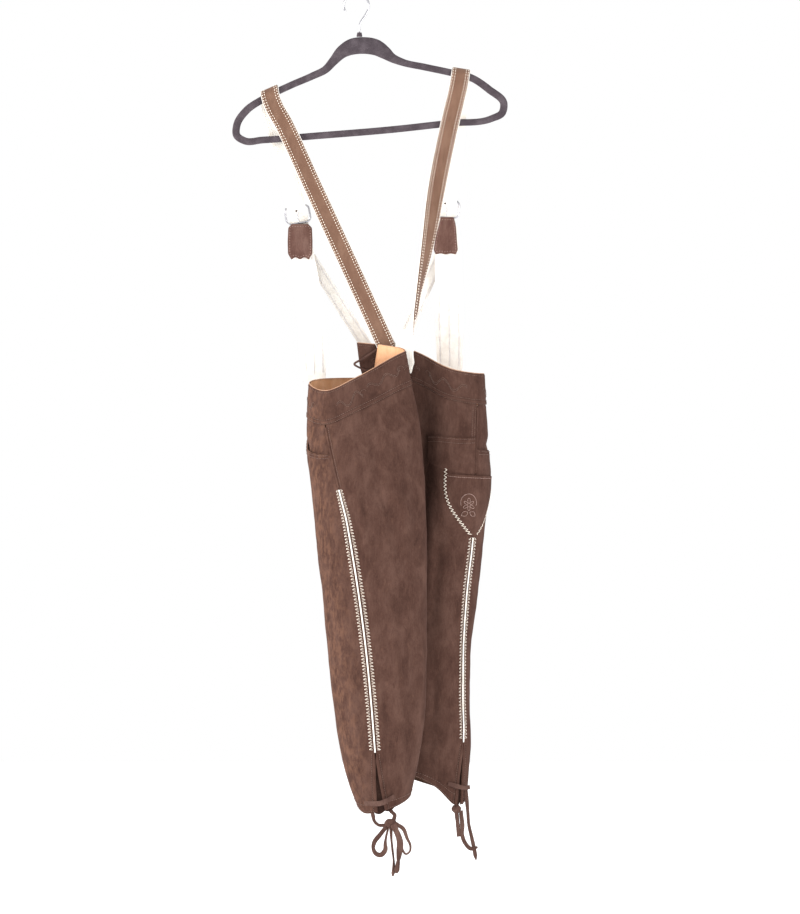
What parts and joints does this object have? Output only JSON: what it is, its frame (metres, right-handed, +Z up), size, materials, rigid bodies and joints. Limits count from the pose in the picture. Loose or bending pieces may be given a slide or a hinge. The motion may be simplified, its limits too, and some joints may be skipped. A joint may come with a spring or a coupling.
{
  "type": "lederhosen on a clothes hanger",
  "caption": "Knee-length suede lederhosen with piped outseams, knee laces and crossed leather braces, hung by the braces on a flocked clothes hanger.",
  "frame": {"origin": "inside top of the hanger's hook, where a rail carries it", "axes": "+Z up; -Y the side the garment's back faces; +X towards the wearer's right"},
  "size_m": [0.44, 0.2139, 1.4105],
  "materials": {
    "dark_suede": "napped suede, mottled",
    "brown_nubuck": "smooth nubuck, stitched edges",
    "cream_leather": "pale split leather",
    "white_piping": "folded white leather strip",
    "horn": "polished horn, painted as matt plastic",
    "polished_steel": "polished",
    "velvet_flock": "short velvet flock on plastic"
  },
  "bodies": {
    "root": {"back_lace": "dark_suede", "back_pocket": "dark_suede", "brace_button_back_left": "horn", "brace_button_back_right": "horn", "brace_button_centre": "horn", "brace_button_front_left": "horn", "brace_button_front_right": "horn", "brace_left_backing": "cream_leather", "brace_left_face": "brown_nubuck", "brace_right_backing": "cream_leather", "brace_right_face": "brown_nubuck", "brace_tab_left": "dark_suede", "brace_tab_right": "dark_suede", "buckle_left": "polished_steel", "buckle_prong_left": "polished_steel", "buckle_prong_right": "polished_steel", "buckle_right": "polished_steel", "diagonal_left_backing": "cream_leather", "diagonal_left_face": "brown_nubuck", "diagonal_right_backing": "cream_leather", "diagonal_right_face": "brown_nubuck", "flap_button_left": "horn", "flap_button_right": "horn", "front_brace_left_backing": "cream_leather", "front_brace_left_face": "brown_nubuck", "front_brace_right_backing": "cream_leather", "front_brace_right_face": "brown_nubuck", "front_flap": "dark_suede", "hanger_body": "velvet_flock", "hanger_collar": "velvet_flock", "hanger_hook": "polished_steel", "knee_knot_left": "dark_suede", "knee_knot_right": "dark_suede", "knee_lace_left_bridge": "dark_suede", "knee_lace_left_loop_a": "dark_suede", "knee_lace_left_loop_b": "dark_suede", "knee_lace_left_strand_a": "dark_suede", "knee_lace_left_strand_b": "dark_suede", "knee_lace_left_tail_a": "dark_suede", "knee_lace_left_tail_b": "dark_suede", "knee_lace_right_bridge": "dark_suede", "knee_lace_right_tail_a": "dark_suede", "knee_lace_right_tail_b": "dark_suede", "knee_lace_right_tail_c": "dark_suede", "knee_tongue_left": "dark_suede", "knee_tongue_right": "dark_suede", "knife_pocket": "dark_suede", "leg_back_left": "dark_suede", "leg_back_right": "dark_suede", "leg_front_left": "dark_suede", "leg_front_right": "dark_suede", "piping_left": "white_piping", "piping_right": "white_piping", "side_pocket_left": "dark_suede", "side_pocket_right": "dark_suede", "waistband_left": "dark_suede", "waistband_right": "dark_suede"}
  },
  "joints": []
}
